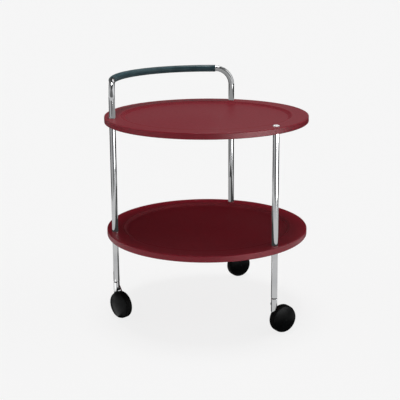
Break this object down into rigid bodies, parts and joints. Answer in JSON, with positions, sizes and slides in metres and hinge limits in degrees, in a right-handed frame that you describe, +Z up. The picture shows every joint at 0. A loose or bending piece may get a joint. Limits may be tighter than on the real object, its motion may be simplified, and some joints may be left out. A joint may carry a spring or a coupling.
{
  "type": "serving trolley",
  "caption": "Round tiered serving trolley: lacquered trays with a sunk field on chrome tube legs, an arched push handle with a leather grip, and swivelling casters.",
  "frame": {"origin": "on the floor, under the common axis of the round trays", "axes": "+Z up along the trays' axis, the single front leg towards -Y, the handle towards +Y"},
  "size_m": [0.535, 0.5392, 0.6306],
  "materials": {
    "tray_lacquer": "burgundy lacquer, semi-gloss",
    "chrome": "polished plating",
    "grip_leather": "smooth dark slate leather",
    "steel": "bright zinc plate",
    "bush_plastic": "matte black moulding",
    "core_plastic": "matte black moulding",
    "tyre_rubber": "matte black tread",
    "cap_plastic": "satin black dome"
  },
  "bodies": {
    "frame": {"top_tray": "tray_lacquer", "bottom_tray": "tray_lacquer", "handle_tube": "chrome", "handle_grip": "grip_leather", "handle_plugs": "steel", "upper_leg_plugs": "steel", "lower_leg_plugs": "steel", "top_tray_studs": "steel", "bottom_tray_studs": "steel", "front_leg_cap": "chrome", "front_upper_leg": "chrome", "front_lower_leg": "chrome", "front_caster_bush": "bush_plastic", "right_upper_leg": "chrome", "right_lower_leg": "chrome", "right_caster_bush": "bush_plastic", "left_upper_leg": "chrome", "left_lower_leg": "chrome", "left_caster_bush": "bush_plastic"},
    "front_caster": {"front_caster_neck": "chrome", "front_caster_stem": "steel", "front_stem_ring": "steel", "front_wheel_axle": "steel", "front_axle_ring": "steel"},
    "front_wheel": {"front_wheel_core": "core_plastic", "front_tyre": "tyre_rubber", "front_wheel_cap": "cap_plastic"},
    "right_caster": {"right_caster_neck": "chrome", "right_caster_stem": "steel", "right_stem_ring": "steel", "right_wheel_axle": "steel", "right_axle_ring": "steel"},
    "right_wheel": {"right_wheel_core": "core_plastic", "right_tyre": "tyre_rubber", "right_wheel_cap": "cap_plastic"},
    "left_caster": {"left_caster_neck": "chrome", "left_caster_stem": "steel", "left_stem_ring": "steel", "left_wheel_axle": "steel", "left_axle_ring": "steel"},
    "left_wheel": {"left_wheel_core": "core_plastic", "left_tyre": "tyre_rubber", "left_wheel_cap": "cap_plastic"}
  },
  "joints": [
    {"name": "front_swivel", "type": "hinge", "parent": "frame", "child": "front_caster", "pos_m": [0, -0.246, 0.094], "axis": [0, 0, 1], "continuous": true},
    {"name": "front_roll", "type": "hinge", "parent": "front_caster", "child": "front_wheel", "pos_m": [0.02146, -0.25567, 0.03525], "axis": [-0.2079, -0.9781, 0], "continuous": true},
    {"name": "right_swivel", "type": "hinge", "parent": "frame", "child": "right_caster", "pos_m": [0.21304, 0.123, 0.094], "axis": [0, 0, 1], "continuous": true},
    {"name": "right_roll", "type": "hinge", "parent": "right_caster", "child": "right_wheel", "pos_m": [0.23433, 0.11295, 0.03525], "axis": [-0.225, -0.9744, 0], "continuous": true},
    {"name": "left_swivel", "type": "hinge", "parent": "frame", "child": "left_caster", "pos_m": [-0.21304, 0.123, 0.094], "axis": [0, 0, 1], "continuous": true},
    {"name": "left_roll", "type": "hinge", "parent": "left_caster", "child": "left_wheel", "pos_m": [-0.21724, 0.09984, 0.03525], "axis": [-0.9994, -0.0349, 0], "continuous": true}
  ]
}
